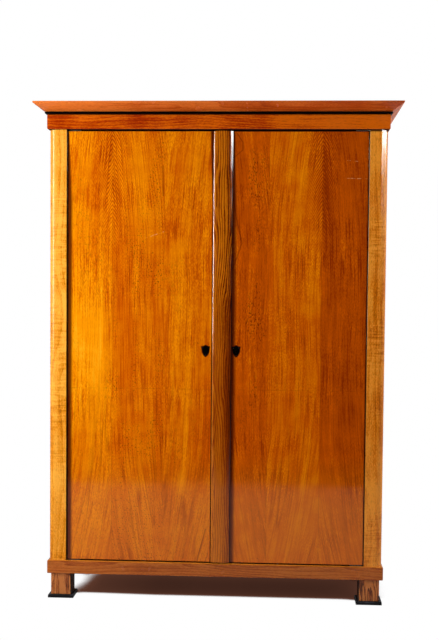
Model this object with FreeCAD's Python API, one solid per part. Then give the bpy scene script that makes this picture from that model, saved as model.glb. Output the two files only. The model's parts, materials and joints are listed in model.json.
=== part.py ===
import FreeCAD, Part
import math
import os
from FreeCAD import Vector

# Two-door cupboard with a canted cornice. Millimetres, +Z up, front towards -Y.
# The origin is under the middle of the whole outline, on the floor.

# Overall sizes
overall_height = 2000.0
body_width = 1350.0
body_depth = 500.0

# Feet and base frame
plinth_height = 14.0
plinth_reach = 10.5
plinth_bevel = 3.0
foot_height = 87.0
foot_width = 83.0
foot_inset = 8.0
foot_edge_round = 4.0
base_height = 54.0
base_reach = 5.0
base_edge_round = 4.0

# Posts and side frames
post_width = 73.0
front_post_depth = 62.0
rear_post_depth = 45.0
post_corner_round = 20.0
post_arris_round = 2.0
side_groove_width = 12.0
side_groove_depth = 12.0
side_rail_thickness = 28.0
side_rail_setback = 4.0
side_top_rail_height = 100.0
side_bottom_rail_height = 120.0

# Boards inside
bottom_board_thickness = 20.0
shelf_thickness = 20.0
shelf_count = 3
shelf_setback = 60.0
batten_size = 22.0
back_board_count = 7
back_board_thickness = 14.0
back_board_lap = 15.0
back_board_tongue = 6.0
back_board_tongue_share = 0.36

# Frieze, bead, cornice and top
frieze_height = 60.0
frieze_reach = 7.0
frieze_thickness = 60.0
frieze_edge_round = 6.0
bead_height = 9.5
bead_reach = 15.0
bead_round_share = 0.45
cornice_height = 35.0
cornice_foot_reach = 11.0
cornice_reach = 56.0
cornice_fillet_height = 6.0
rim_width = 22.0
top_board_thickness = 18.0
glue_block_leg = 22.0
glue_block_length = 70.0
front_glue_block_count = 5
side_glue_block_count = 2
stop_rail_height = 30.0

# Doors
door_recess = 8.0
core_thickness = 24.0
veneer_thickness = 2.0
door_side_gap = 2.5
door_top_gap = 5.5
door_bottom_gap = 5.0
meeting_line = -15.0
meeting_gap = 3.0
stop_gap = 1.0
hinge_stile_width = 90.0
meeting_stile_width = 130.0
door_top_rail_height = 110.0
door_lock_rail_height = 140.0
door_bottom_rail_height = 140.0
lock_rail_bottom = 860.0
hinge_back_round = 14.0
tenon_length = 45.0
tenon_thickness = 8.0
tenon_shoulder = 15.0
door_panel_thickness = 12.0
panel_tongue_thickness = 6.0
panel_tongue_length = 8.0
hinge_leaf_width = 180.0
middle_leaf_width = 210.0

# Cover strip on the right door
strip_width = 77.0
strip_edge_height = 9.0
strip_crown_height = 14.0
strip_arris_round = 3.0

# Keyhole plates, lock and bolts
lock_height = 1015.0
escutcheon_width = 32.0
escutcheon_height = 46.0
escutcheon_thickness = 2.5
escutcheon_bevel = 0.8
left_escutcheon_place = -41.0
right_escutcheon_place = 81.5
keyhole_radius = 3.6
keyhole_slot_width = 4.4
keyhole_slot_drop = 11.0
lock_case_width = 125.0
lock_case_height = 110.0
lock_case_depth = 16.0
lock_case_wall = 2.5
lock_case_setback = 1.0
bolt_bar_height = 26.0
bolt_bar_length = 70.0
bolt_bar_clearance = 0.3
lock_throw = 12.0
keeper_depth = 22.0
keeper_height = 44.0
keeper_clearance = 1.0
rod_radius = 4.0
rod_length = 180.0
rod_place = -60.0
rod_throw = 14.0
rod_end_gap = 2.5
rod_hole_clearance = 0.5
rod_guide_clearance = 0.1
rod_knob_radius = 4.5
rod_knob_length = 14.0
guide_width = 26.0
guide_height = 14.0
guide_depth = 15.0
guide_inset = 30.0

# Pivots
pivot_from_edge = 16.0
pivot_from_face = 8.0
pivot_pin_radius = 4.0
pivot_pin_clearance = 0.05
pivot_bore_clearance = 0.5
pivot_pin_reach = 12.0
pivot_plate_thickness = 2.35
pivot_plate_length = 48.0
pivot_plate_width = 14.0
pivot_plate_edge = 13.0

# One overrun for all cuts
overrun = 10.0

# Planes worked out from the sizes
half_width = body_width / 2
post_front = (cornice_reach - body_depth) / 2
back_plane = post_front + body_depth
base_bottom = plinth_height + foot_height
base_top = base_bottom + base_height
cornice_bottom = overall_height - cornice_height
bead_bottom = cornice_bottom - bead_height
frieze_bottom = bead_bottom - frieze_height
post_inner = half_width - post_width
rail_outer = half_width - side_rail_setback
rail_inner = rail_outer - side_rail_thickness
groove_outer = (rail_outer + rail_inner + side_groove_width) / 2
groove_inner = groove_outer - side_groove_width
front_post_back = post_front + front_post_depth
rear_post_front = back_plane - rear_post_depth
back_board_front = back_plane - back_board_thickness
door_front = post_front + door_recess
core_front = door_front + veneer_thickness
door_back = core_front + core_thickness
stop_plane = door_back + stop_gap
door_bottom = base_top + door_bottom_gap
door_top = frieze_bottom - door_top_gap
deck_top = base_top + bottom_board_thickness
shelf_front = post_front + shelf_setback
door_edge = post_inner - door_side_gap
left_meeting_edge = meeting_line - meeting_gap / 2
right_meeting_edge = meeting_line + meeting_gap / 2
pivot_x = door_edge - pivot_from_edge
pivot_y = door_front + pivot_from_face

up = Vector(0, 0, 1)
pieces = {}


def block(x_pair, y_pair, z_pair):
    """Square-edged piece between two planes each way, in either order."""
    low = Vector(min(x_pair), min(y_pair), min(z_pair))
    high = Vector(max(x_pair), max(y_pair), max(z_pair))
    size = high - low
    return Part.makeBox(size.x, size.y, size.z, low)


def rounded_face(points, radii):
    """Flat face with straight sides, each corner rounded to its radius (zero keeps it sharp)."""
    corners = []
    for place, point in enumerate(points):
        radius = radii[place]
        before = (points[place - 1] - point).normalize()
        after = (points[(place + 1) % len(points)] - point).normalize()
        half_angle = before.getAngle(after) / 2
        if radius == 0:
            corners.append((point, point, point))
            continue
        run = radius / math.tan(half_angle)
        inward = (before + after).normalize()
        middle = point + inward * (radius / math.sin(half_angle) - radius)
        corners.append((point + before * run, middle, point + after * run))
    edges = []
    for place, (start, middle, end) in enumerate(corners):
        if start != end:
            edges.append(Part.Arc(start, middle, end).toShape())
        following = corners[(place + 1) % len(corners)][0]
        edges.append(Part.LineSegment(end, following).toShape())
    return Part.Face(Part.Wire(edges))


def standing(plan, radii, z_low, z_high):
    """Upright piece with a plan given as (x, y) points."""
    points = [Vector(x, y, z_low) for x, y in plan]
    return rounded_face(points, radii).extrude(up * (z_high - z_low))


def plan_prism(plan, z_low, z_high):
    return standing(plan, [0] * len(plan), z_low, z_high)


def upright_rod(x, y, z_low, z_high, radius):
    return Part.makeCylinder(radius, z_high - z_low, Vector(x, y, z_low), up)


def mirrored(shape):
    return shape.mirror(Vector(0, 0, 0), Vector(1, 0, 0))


def both_sides(name, right_piece):
    """The right-hand piece and its mirror image."""
    pieces["right_" + name] = right_piece
    pieces["left_" + name] = mirrored(right_piece)


def mitred_runs(profile, radii, z_low, z_high):
    """Front and right-hand runs of one moulding, mitred at the corner.

    The profile is a list of (reach, height) points: the reach is measured out from the face of the
    posts, and what lies behind that face has a negative reach.
    """
    farthest = max(reach for reach, height in profile) + overrun
    deepest = -min(reach for reach, height in profile) + overrun
    front_points = [Vector(-half_width - farthest, post_front - reach, height) for reach, height in profile]
    front_bar = rounded_face(front_points, radii).extrude(Vector(2 * (half_width + farthest), 0, 0))
    front_plan = [
        (-half_width - farthest, post_front - farthest),
        (half_width + farthest, post_front - farthest),
        (half_width - deepest, post_front + deepest),
        (-half_width + deepest, post_front + deepest),
    ]
    side_points = [Vector(half_width + reach, post_front - farthest, height) for reach, height in profile]
    side_bar = rounded_face(side_points, radii).extrude(Vector(0, back_plane - post_front + farthest, 0))
    side_plan = [
        (half_width + farthest, post_front - farthest),
        (half_width + farthest, back_plane),
        (half_width - deepest, back_plane),
        (half_width - deepest, post_front + deepest),
    ]
    front = front_bar.common(plan_prism(front_plan, z_low - overrun, z_high + overrun))
    side = side_bar.common(plan_prism(side_plan, z_low - overrun, z_high + overrun))
    return front.Solids[0], side.Solids[0]


def feet():
    outer = half_width - foot_inset
    inner = outer - foot_width
    rounds = [foot_edge_round] * 4
    front_y = post_front + foot_inset
    rear_y = back_plane - plinth_reach - foot_width
    for row, near in (("front", front_y), ("rear", rear_y)):
        far = near + foot_width
        plan = [(inner, near), (outer, near), (outer, far), (inner, far)]
        foot = standing(plan, rounds, plinth_height, base_bottom)
        plinth = block((inner - plinth_reach, outer + plinth_reach), (near - plinth_reach, far + plinth_reach),
                       (0, plinth_height))
        top_edges = [edge for edge in plinth.Edges if edge.BoundBox.ZMin > plinth_height / 2]
        both_sides(row + "_foot", foot)
        both_sides(row + "_plinth", plinth.makeChamfer(plinth_bevel, top_edges))


def base_frame():
    depth = foot_inset + foot_width
    profile = [(-depth, base_bottom), (base_reach, base_bottom), (base_reach, base_top), (-depth, base_top)]
    radii = [0, base_edge_round, base_edge_round, 0]
    front, side = mitred_runs(profile, radii, base_bottom, base_top)
    pieces["base_rail_front"] = front
    both_sides("base_rail", side)
    inner = half_width - depth
    pieces["base_rail_back"] = block((-inner, inner), (back_plane - depth, back_plane), (base_bottom, base_top))


def side_panel_groove(y_pair):
    """Upright groove for the rails' tongues and the panel."""
    return block((groove_inner, groove_outer), y_pair, (base_top - overrun, frieze_bottom + overrun))


def posts():
    front_plan = [
        (post_inner, post_front), (half_width, post_front),
        (half_width, front_post_back), (post_inner, front_post_back),
    ]
    front_rounds = [post_arris_round, post_corner_round, 0, 0]
    front_post = standing(front_plan, front_rounds, base_top, frieze_bottom)
    front_groove = side_panel_groove((front_post_back - side_groove_depth, front_post_back + overrun))
    both_sides("front_post", front_post.cut(front_groove))
    rear_plan = [
        (post_inner, rear_post_front), (half_width, rear_post_front), (half_width, back_plane),
        (post_inner + back_board_lap, back_plane), (post_inner + back_board_lap, back_board_front),
        (post_inner, back_board_front),
    ]
    rear_post = plan_prism(rear_plan, base_top, frieze_bottom)
    rear_groove = side_panel_groove((rear_post_front - overrun, rear_post_front + side_groove_depth))
    both_sides("rear_post", rear_post.cut(rear_groove))


def side_frames():
    y_body = (front_post_back, rear_post_front)
    y_tongue = (front_post_back - side_groove_depth, rear_post_front + side_groove_depth)
    bottom_rail_top = base_top + side_bottom_rail_height
    top_rail_bottom = frieze_bottom - side_top_rail_height
    panel_bottom = bottom_rail_top - side_groove_depth
    panel_top = top_rail_bottom + side_groove_depth
    panel_x = (groove_inner, groove_outer)
    panel = block(panel_x, y_tongue, (panel_bottom, panel_top))
    rails = []
    for z_pair in ((base_top, bottom_rail_top), (top_rail_bottom, frieze_bottom)):
        body = block((rail_inner, rail_outer), y_body, z_pair)
        rails.append(body.fuse(block(panel_x, y_tongue, z_pair)).cut(panel).removeSplitter())
    both_sides("side_rails", Part.makeCompound(rails))
    both_sides("side_panel", panel)


def fitted_board(front_y, z_pair):
    """Board that runs between the posts and fills the side frames behind them."""
    between_posts = block((-post_inner, post_inner), (front_y, back_board_front), z_pair)
    filling_y = (max(front_y, front_post_back), rear_post_front)
    between_rails = block((-rail_inner, rail_inner), filling_y, z_pair)
    return between_posts.fuse(between_rails).removeSplitter()


def rod_hole(z_pair):
    """Square hole, chopped for a bolt of the left door."""
    rod_y = door_back + guide_depth / 2
    half_side = rod_radius + rod_hole_clearance
    return block((rod_place - half_side, rod_place + half_side), (rod_y - half_side, rod_y + half_side), z_pair)


def boards_inside():
    deck = fitted_board(stop_plane, (base_top, deck_top))
    pieces["bottom_board"] = deck.cut(rod_hole((base_top - overrun, deck_top + overrun)))
    compartment = (frieze_bottom - deck_top - shelf_count * shelf_thickness) / (shelf_count + 1)
    battens = []
    for number in range(shelf_count):
        shelf_bottom = deck_top + compartment * (number + 1) + shelf_thickness * number
        shelf = fitted_board(shelf_front, (shelf_bottom, shelf_bottom + shelf_thickness))
        pieces["shelf_%d" % (number + 1)] = shelf
        batten = block((post_inner - batten_size, post_inner), (shelf_front, back_board_front),
                       (shelf_bottom - batten_size, shelf_bottom))
        battens += [batten, mirrored(batten)]
    pieces["shelf_battens"] = Part.makeCompound(battens)


def back_boards():
    left = -post_inner - back_board_lap
    width = -2 * left / back_board_count
    tongue = back_board_thickness * back_board_tongue_share
    tongue_front = back_board_front + (back_board_thickness - tongue) / 2
    tongue_y = (tongue_front, tongue_front + tongue)
    boards = []
    for number in range(back_board_count):
        x_low = left + width * number
        x_high = x_low + width
        board = block((x_low, x_high), (back_board_front, back_plane), (base_top, frieze_bottom))
        if number > 0:
            groove = block((x_low - overrun, x_low + back_board_tongue), tongue_y,
                           (base_top - overrun, frieze_bottom + overrun))
            board = board.cut(groove)
        if number < back_board_count - 1:
            board = board.fuse(block((x_high, x_high + back_board_tongue), tongue_y, (base_top, frieze_bottom)))
        boards.append(board.removeSplitter())
    pieces["back_boards"] = Part.makeCompound(boards)


def head():
    inside = frieze_reach - frieze_thickness
    frieze = [(inside, frieze_bottom), (frieze_reach, frieze_bottom), (frieze_reach, bead_bottom),
              (inside, bead_bottom)]
    front, side = mitred_runs(frieze, [0, frieze_edge_round, frieze_edge_round, 0], frieze_bottom, bead_bottom)
    pieces["frieze_front"] = front
    both_sides("frieze", side)
    inner = half_width + inside
    pieces["frieze_back"] = block((-inner, inner), (back_plane - frieze_thickness, back_plane),
                                  (frieze_bottom, bead_bottom))
    bead = [(-rim_width, bead_bottom), (bead_reach, bead_bottom), (bead_reach, cornice_bottom),
            (-rim_width, cornice_bottom)]
    bead_round = bead_height * bead_round_share
    front, side = mitred_runs(bead, [0, bead_round, bead_round, 0], bead_bottom, cornice_bottom)
    pieces["bead_front"] = front
    both_sides("bead", side)
    fillet_bottom = overall_height - cornice_fillet_height
    cornice = [(-rim_width, cornice_bottom), (cornice_foot_reach, cornice_bottom),
               (cornice_reach, fillet_bottom), (cornice_reach, overall_height), (-rim_width, overall_height)]
    front, side = mitred_runs(cornice, [0] * len(cornice), cornice_bottom, overall_height)
    pieces["cornice_front"] = front
    both_sides("cornice", side)
    rim = half_width - rim_width
    top_board_top = bead_bottom + top_board_thickness
    pieces["top_board"] = block((-rim, rim), (post_front + rim_width, back_plane), (bead_bottom, top_board_top))
    stop_back = post_front - inside
    stop_rail = block((-post_inner, post_inner), (stop_plane, stop_back),
                      (frieze_bottom - stop_rail_height, frieze_bottom))
    pieces["door_stop_rail"] = stop_rail.cut(rod_hole((frieze_bottom - stop_rail_height - overrun, frieze_bottom)))
    pieces["cornice_glue_blocks"] = glue_blocks(top_board_top)


def glue_blocks(z_low):
    """Three-cornered blocks in the angle between the top board and the back of the cornice."""
    rim_x = half_width - rim_width
    rim_y = post_front + rim_width
    blocks = []
    front_step = 2 * rim_x / front_glue_block_count
    for number in range(front_glue_block_count):
        x_low = -rim_x + front_step * (number + 0.5) - glue_block_length / 2
        corners = [Vector(x_low, rim_y, z_low), Vector(x_low, rim_y + glue_block_leg, z_low),
                   Vector(x_low, rim_y, z_low + glue_block_leg)]
        blocks.append(rounded_face(corners, [0] * 3).extrude(Vector(glue_block_length, 0, 0)))
    side_step = (back_plane - rim_y) / side_glue_block_count
    for number in range(side_glue_block_count):
        y_low = rim_y + side_step * (number + 0.5) - glue_block_length / 2
        corners = [Vector(rim_x, y_low, z_low), Vector(rim_x - glue_block_leg, y_low, z_low),
                   Vector(rim_x, y_low, z_low + glue_block_leg)]
        block_right = rounded_face(corners, [0] * 3).extrude(Vector(0, glue_block_length, 0))
        blocks += [block_right, mirrored(block_right)]
    return Part.makeCompound(blocks)


def pivot_plate(side, z_pair):
    """Flat plate round the pivot, long side along the door."""
    outer = pivot_x + pivot_plate_edge
    x_pair = (side * outer, side * (outer - pivot_plate_length))
    y_pair = (pivot_y - pivot_plate_width / 2, pivot_y + pivot_plate_width / 2)
    return block(x_pair, y_pair, z_pair)


def pivot_bore(side, radius, z_pair):
    return upright_rod(side * pivot_x, pivot_y, min(z_pair), max(z_pair), radius)


def carcass_pivots():
    plates = []
    for side in (-1, 1):
        low_pin = pivot_bore(side, pivot_pin_radius, (base_top, door_bottom + pivot_pin_reach))
        high_pin = pivot_bore(side, pivot_pin_radius, (door_top - pivot_pin_reach, frieze_bottom))
        low_plate = pivot_plate(side, (base_top, base_top + pivot_plate_thickness))
        high_plate = pivot_plate(side, (frieze_bottom - pivot_plate_thickness, frieze_bottom))
        plates += [low_plate.fuse(low_pin), high_plate.fuse(high_pin)]
    pieces["carcass_pivots"] = Part.makeCompound(plates)


def keyhole(y_pair):
    """Round hole with a slot below it, along Y."""
    depth = max(y_pair) - min(y_pair)
    centre = Vector(right_escutcheon_place, min(y_pair), lock_height + keyhole_radius)
    round_part = Part.makeCylinder(keyhole_radius, depth, centre, Vector(0, 1, 0))
    half_slot = keyhole_slot_width / 2
    slot = block((right_escutcheon_place - half_slot, right_escutcheon_place + half_slot), y_pair,
                 (centre.z - keyhole_slot_drop, centre.z))
    return round_part.fuse(slot)


def door(name, side, hinge_edge, meeting_edge, cuts):
    """Framed core with flush panels, three veneer leaves and the pivot plates."""
    inward = -side
    core_y = (core_front, door_back)
    hinge_inner = hinge_edge + inward * hinge_stile_width
    meeting_inner = meeting_edge - inward * meeting_stile_width
    z_whole = (door_bottom, door_top)
    lock_rail_top = lock_rail_bottom + door_lock_rail_height
    rail_levels = [
        (door_bottom, door_bottom + door_bottom_rail_height),
        (lock_rail_bottom, lock_rail_top),
        (door_top - door_top_rail_height, door_top),
    ]
    tongue_front = core_front + (door_panel_thickness - panel_tongue_thickness) / 2
    tongue_y = (tongue_front, tongue_front + panel_tongue_thickness)
    tenon_front = (core_front + door_back - tenon_thickness) / 2
    tenon_y = (tenon_front, tenon_front + tenon_thickness)

    panels = []
    for lower, upper in zip(rail_levels, rail_levels[1:]):
        field_z = (lower[1], upper[0])
        field = block((hinge_inner, meeting_inner), (core_front, core_front + door_panel_thickness), field_z)
        tongue = block((hinge_inner - inward * panel_tongue_length, meeting_inner + inward * panel_tongue_length),
                       tongue_y, (lower[1] - panel_tongue_length, upper[0] + panel_tongue_length))
        panels.append(field.fuse(tongue).removeSplitter())

    rails = []
    for z_low, z_high in rail_levels:
        body = block((hinge_inner, meeting_inner), core_y, (z_low, z_high))
        tenon = block((hinge_inner - inward * tenon_length, meeting_inner + inward * tenon_length), tenon_y,
                      (z_low + tenon_shoulder, z_high - tenon_shoulder))
        rail = body.fuse(tenon)
        for panel in panels:
            rail = rail.cut(panel)
        rails.append(rail.removeSplitter())

    hinge_plan = [(hinge_edge, core_front), (hinge_inner, core_front), (hinge_inner, door_back),
                  (hinge_edge, door_back)]
    hinge_stile = standing(hinge_plan, [0, 0, 0, hinge_back_round], *z_whole)
    meeting_stile = block((meeting_inner, meeting_edge), core_y, z_whole)
    for bore_z in ((door_bottom - overrun, door_bottom + pivot_pin_reach + pivot_bore_clearance),
                   (door_top - pivot_pin_reach - pivot_bore_clearance, door_top + overrun)):
        hinge_stile = hinge_stile.cut(pivot_bore(side, pivot_pin_radius + pivot_bore_clearance, bore_z))
    for inset in rails + panels:
        hinge_stile = hinge_stile.cut(inset)
        meeting_stile = meeting_stile.cut(inset)
    for opening in cuts:
        meeting_stile = meeting_stile.cut(opening)

    first_seam = hinge_edge + inward * hinge_leaf_width
    second_seam = first_seam + inward * middle_leaf_width
    leaves = []
    for x_pair in ((hinge_edge, first_seam), (first_seam, second_seam), (second_seam, meeting_edge)):
        leaf = block(x_pair, (door_front, core_front), z_whole)
        for opening in cuts:
            leaf = leaf.cut(opening)
        for bore_z in ((door_bottom - overrun, door_bottom + pivot_pin_reach + pivot_bore_clearance),
                       (door_top - pivot_pin_reach - pivot_bore_clearance, door_top + overrun)):
            leaf = leaf.cut(pivot_bore(side, pivot_pin_radius + pivot_bore_clearance, bore_z))
        leaves.append(leaf)

    plates = []
    for z_pair in ((door_bottom - pivot_plate_thickness, door_bottom), (door_top, door_top + pivot_plate_thickness)):
        hole_z = (z_pair[0] - overrun, z_pair[1] + overrun)
        plate = pivot_plate(side, z_pair)
        plates.append(plate.cut(pivot_bore(side, pivot_pin_radius + pivot_pin_clearance, hole_z)))

    pieces[name + "_door_hinge_stile"] = hinge_stile
    pieces[name + "_door_meeting_stile"] = meeting_stile
    pieces[name + "_door_rails"] = Part.makeCompound(rails)
    pieces[name + "_door_panels"] = Part.makeCompound(panels)
    pieces[name + "_door_veneer"] = Part.makeCompound(leaves)
    pieces[name + "_door_pivot_plates"] = Part.makeCompound(plates)


def escutcheon(place):
    """Shield plate: a peaked top edge, sides that draw in, and a pointed foot."""
    outline_shares = [(0.0, -0.5), (0.36, -0.2), (0.5, 0.37), (0.25, 0.4), (0.0, 0.5)]
    right = [(x * escutcheon_width, z * escutcheon_height) for x, z in outline_shares]
    outline = right + [(-x, z) for x, z in reversed(right[1:-1])]
    points = [Vector(place + x, door_front, lock_height + z) for x, z in outline]
    plate = rounded_face(points, [0] * len(points)).extrude(Vector(0, -escutcheon_thickness, 0))
    face_y = door_front - escutcheon_thickness
    rim = [edge for edge in plate.Edges if edge.BoundBox.YMax < face_y + escutcheon_thickness / 2]
    return plate.makeChamfer(escutcheon_bevel, rim)


def cover_strip():
    left = right_meeting_edge
    right = left + strip_width
    shoulder = door_front - strip_edge_height
    start = Vector(left, door_front, door_bottom)
    left_arris = Vector(left, shoulder, door_bottom)
    crown = Vector((left + right) / 2, door_front - strip_crown_height, door_bottom)
    right_arris = Vector(right, shoulder, door_bottom)
    end = Vector(right, door_front, door_bottom)
    section = Part.Wire([
        Part.LineSegment(start, left_arris).toShape(),
        Part.Arc(left_arris, crown, right_arris).toShape(),
        Part.LineSegment(right_arris, end).toShape(),
        Part.LineSegment(end, start).toShape(),
    ])
    strip = Part.Face(section).extrude(up * (door_top - door_bottom))
    arrises = []
    for edge in strip.Edges:
        box = edge.BoundBox
        if box.ZLength > strip_width and box.YMax < door_front - strip_edge_height / 2:
            arrises.append(edge)
    pieces["cover_strip"] = strip.makeFillet(strip_arris_round, arrises)


def lock():
    """Lock case on the back of the right door, its bolt drawn back, and the keeper on the left door."""
    left = right_meeting_edge + lock_case_setback
    right = left + lock_case_width
    back = door_back + lock_case_depth
    half_height = lock_case_height / 2
    case_z = (lock_height - half_height, lock_height + half_height)
    case = block((left, right), (door_back, back), case_z)
    inside = block((left + lock_case_wall, right - lock_case_wall), (door_back + lock_case_wall, back - lock_case_wall),
                   (case_z[0] + lock_case_wall, case_z[1] - lock_case_wall))
    bolt_y = (door_back + lock_case_wall + bolt_bar_clearance, back - lock_case_wall - bolt_bar_clearance)
    bolt_z = (lock_height - bolt_bar_height / 2, lock_height + bolt_bar_height / 2)
    slot_y = (bolt_y[0] - bolt_bar_clearance, bolt_y[1] + bolt_bar_clearance)
    slot_z = (bolt_z[0] - bolt_bar_clearance, bolt_z[1] + bolt_bar_clearance)
    slot = block((left - overrun, left + lock_case_wall + overrun), slot_y, slot_z)
    case = case.cut(inside).cut(slot).cut(keyhole((door_back - overrun, door_back + lock_case_wall + overrun)))
    pieces["lock_case"] = case
    pieces["lock_bolt"] = block((left, left + bolt_bar_length), bolt_y, bolt_z)

    keeper_right = left_meeting_edge - lock_case_setback
    keeper = block((keeper_right - keeper_depth, keeper_right), (door_back, back),
                   (lock_height - keeper_height / 2, lock_height + keeper_height / 2))
    socket_y = (bolt_y[0] - keeper_clearance, bolt_y[1] + keeper_clearance)
    socket_z = (bolt_z[0] - keeper_clearance, bolt_z[1] + keeper_clearance)
    socket = block((keeper_right - keeper_depth - overrun, keeper_right + overrun), socket_y, socket_z)
    return keeper.cut(socket)


def door_bolts(keeper):
    """Upright bolts of the left door, drawn back, and the guides that they slide in."""
    rod_y = door_back + guide_depth / 2
    top_end = frieze_bottom - stop_rail_height - rod_end_gap
    low_end = deck_top + rod_end_gap
    guides = [keeper]
    for name, z_low, knob_z in (("top_bolt", top_end - rod_length, top_end - rod_length / 2),
                                ("bottom_bolt", low_end, low_end + rod_length / 2)):
        rod = upright_rod(rod_place, rod_y, z_low, z_low + rod_length, rod_radius)
        knob = Part.makeCylinder(rod_knob_radius, rod_knob_length, Vector(rod_place, rod_y, knob_z), Vector(0, 1, 0))
        pieces[name] = rod.fuse(knob).removeSplitter()
        for middle in (z_low + guide_inset, z_low + rod_length - guide_inset):
            guide = block((rod_place - guide_width / 2, rod_place + guide_width / 2),
                          (door_back, door_back + guide_depth), (middle - guide_height / 2, middle + guide_height / 2))
            bore = upright_rod(rod_place, rod_y, middle - guide_height, middle + guide_height,
                               rod_radius + rod_guide_clearance)
            guides.append(guide.cut(bore))
    pieces["left_door_bolt_guides"] = Part.makeCompound(guides)


feet()
base_frame()
posts()
side_frames()
boards_inside()
back_boards()
head()
carcass_pivots()
door("left", -1, -door_edge, left_meeting_edge, [])
door("right", 1, door_edge, right_meeting_edge, [keyhole((door_front - overrun, door_back + overrun))])
pieces["left_escutcheon"] = escutcheon(left_escutcheon_place)
pieces["right_escutcheon"] = escutcheon(right_escutcheon_place).cut(
    keyhole((door_front - escutcheon_thickness - overrun, door_front + overrun)))
cover_strip()
door_bolts(lock())

os.makedirs("parts", exist_ok=True)
for name, shape in pieces.items():
    shape.exportStep("parts/%s.step" % name)
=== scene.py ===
import json
import math
from functools import partial

import bmesh
import bpy
from mathutils import Matrix, Vector

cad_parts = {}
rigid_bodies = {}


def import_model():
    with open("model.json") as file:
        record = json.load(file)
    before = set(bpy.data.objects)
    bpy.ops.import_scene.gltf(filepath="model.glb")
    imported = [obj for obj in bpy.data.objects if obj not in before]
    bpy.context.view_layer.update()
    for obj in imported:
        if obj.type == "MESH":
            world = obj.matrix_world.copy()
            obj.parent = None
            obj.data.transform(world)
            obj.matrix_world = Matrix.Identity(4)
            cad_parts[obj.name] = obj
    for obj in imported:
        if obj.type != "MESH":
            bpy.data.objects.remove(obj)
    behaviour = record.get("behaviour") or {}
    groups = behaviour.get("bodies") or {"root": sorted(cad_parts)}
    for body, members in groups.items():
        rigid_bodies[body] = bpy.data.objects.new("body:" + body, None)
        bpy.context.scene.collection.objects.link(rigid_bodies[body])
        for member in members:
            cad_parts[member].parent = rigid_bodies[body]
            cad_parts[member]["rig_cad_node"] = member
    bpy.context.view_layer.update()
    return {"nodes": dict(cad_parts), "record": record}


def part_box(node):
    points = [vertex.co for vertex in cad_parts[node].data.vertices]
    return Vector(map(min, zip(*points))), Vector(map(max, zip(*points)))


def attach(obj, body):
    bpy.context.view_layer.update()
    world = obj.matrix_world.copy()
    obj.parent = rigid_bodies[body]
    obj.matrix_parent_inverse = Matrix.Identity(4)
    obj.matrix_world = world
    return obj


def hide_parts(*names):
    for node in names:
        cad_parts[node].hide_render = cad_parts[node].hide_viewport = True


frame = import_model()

record = frame["record"]
record_slots = {row["node"]: row["material_slot"] for row in record["subparts"]}
rides_on = {node: body for body, nodes in record["behaviour"]["bodies"].items() for node in nodes}

# Places of the doors, posts and back, in metres
door_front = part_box("left_door_veneer")[0].y
door_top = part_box("left_door_veneer")[1].z
outer_seam = 0.4195
middle_leaf = 0.210
inner_seam = outer_seam - middle_leaf
lock_rail_line = 0.860
meeting_edge = -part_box("left_door_veneer")[1].x
strip_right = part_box("cover_strip")[1].x
post_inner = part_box("right_front_post")[0].x
post_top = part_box("right_front_post")[1].z
hinge_edge = -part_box("left_door_veneer")[0].x
back_board_count = 7
back_board = (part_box("back_boards")[1].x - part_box("back_boards")[0].x) / back_board_count
nail_rise = 0.0007
back_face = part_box("back_boards")[1].y - nail_rise

# What counts as one point, as touching a line, as an upright edge, and as a sharp arris
weld = 0.00001
touching = 0.0001
upright_length = 0.1
sharp_angle = math.radians(40)


def linear(tint):
    """Linear colour of an sRGB hex value."""
    parts = [int(tint[place:place + 2], 16) / 255 for place in (1, 3, 5)]
    return [part / 12.92 if part <= 0.04045 else ((part + 0.055) / 1.055) ** 2.4 for part in parts] + [1.0]


def add_node(tree, kind, inputs=None, out=0, stops=None, **settings):
    """Adds one shader node with its settings and inputs; gives the named output, or the node for None."""
    made = tree.nodes.new("ShaderNode" + kind)
    for key, value in settings.items():
        setattr(made, key, value)
    for key, value in (inputs or {}).items():
        if isinstance(value, bpy.types.NodeSocket):
            tree.links.new(value, made.inputs[key])
        else:
            made.inputs[key].default_value = value
    for number, (place, tint) in enumerate(stops or []):
        ramp = made.color_ramp.elements
        stop = ramp[number] if number < 2 else ramp.new(place)
        stop.position = place
        stop.color = linear(tint)
    return made if out is None else made.outputs[out]


def new_finish(name, library=bpy.data.materials):
    """An empty finish, or the sky's from the library of worlds, and the function that adds a node to it."""
    finish = library.new(name)
    finish.use_nodes = True
    finish.node_tree.nodes.clear()
    return finish, partial(add_node, finish.node_tree)


def weigh(add, start, parts):
    """Sum of patterns by weight, each counted from its middle value."""
    total = start - sum(weight for pattern, weight in parts) / 2
    for pattern, weight in parts:
        total = add("Math", {0: pattern, 1: weight, 2: total}, operation="MULTIPLY_ADD")
    return total


def polish(add, colour, roughness, relief, depth, metal=0.0, gloss=0.5):
    """The shader that every finish ends in."""
    bump = add("Bump", {"Height": relief, "Distance": depth})
    shader = add("BsdfPrincipled", {"Base Color": colour, "Roughness": roughness, "Metallic": metal,
                                    "Specular IOR Level": gloss, "Normal": bump})
    add("OutputMaterial", {"Surface": shader}, out=None)


def grain_noise(add, place, across_mm, along_share=1.0, detail=2.0):
    """Noise drawn out along the grain: so many millimetres across it, and 1/share times that along it."""
    drawn = add("VectorMath", {0: place, 1: (1.0, 1.0, along_share)}, operation="MULTIPLY")
    return add("TexNoise", {"Vector": drawn, "Scale": 1000 / across_mm, "Detail": detail})


def wood_stops(tints):
    """Colour stops of a wood from its dark line to its light streak."""
    return list(zip((0.0, 1.0, 0.5), (tints[0], tints[2], tints[1])))


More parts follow.
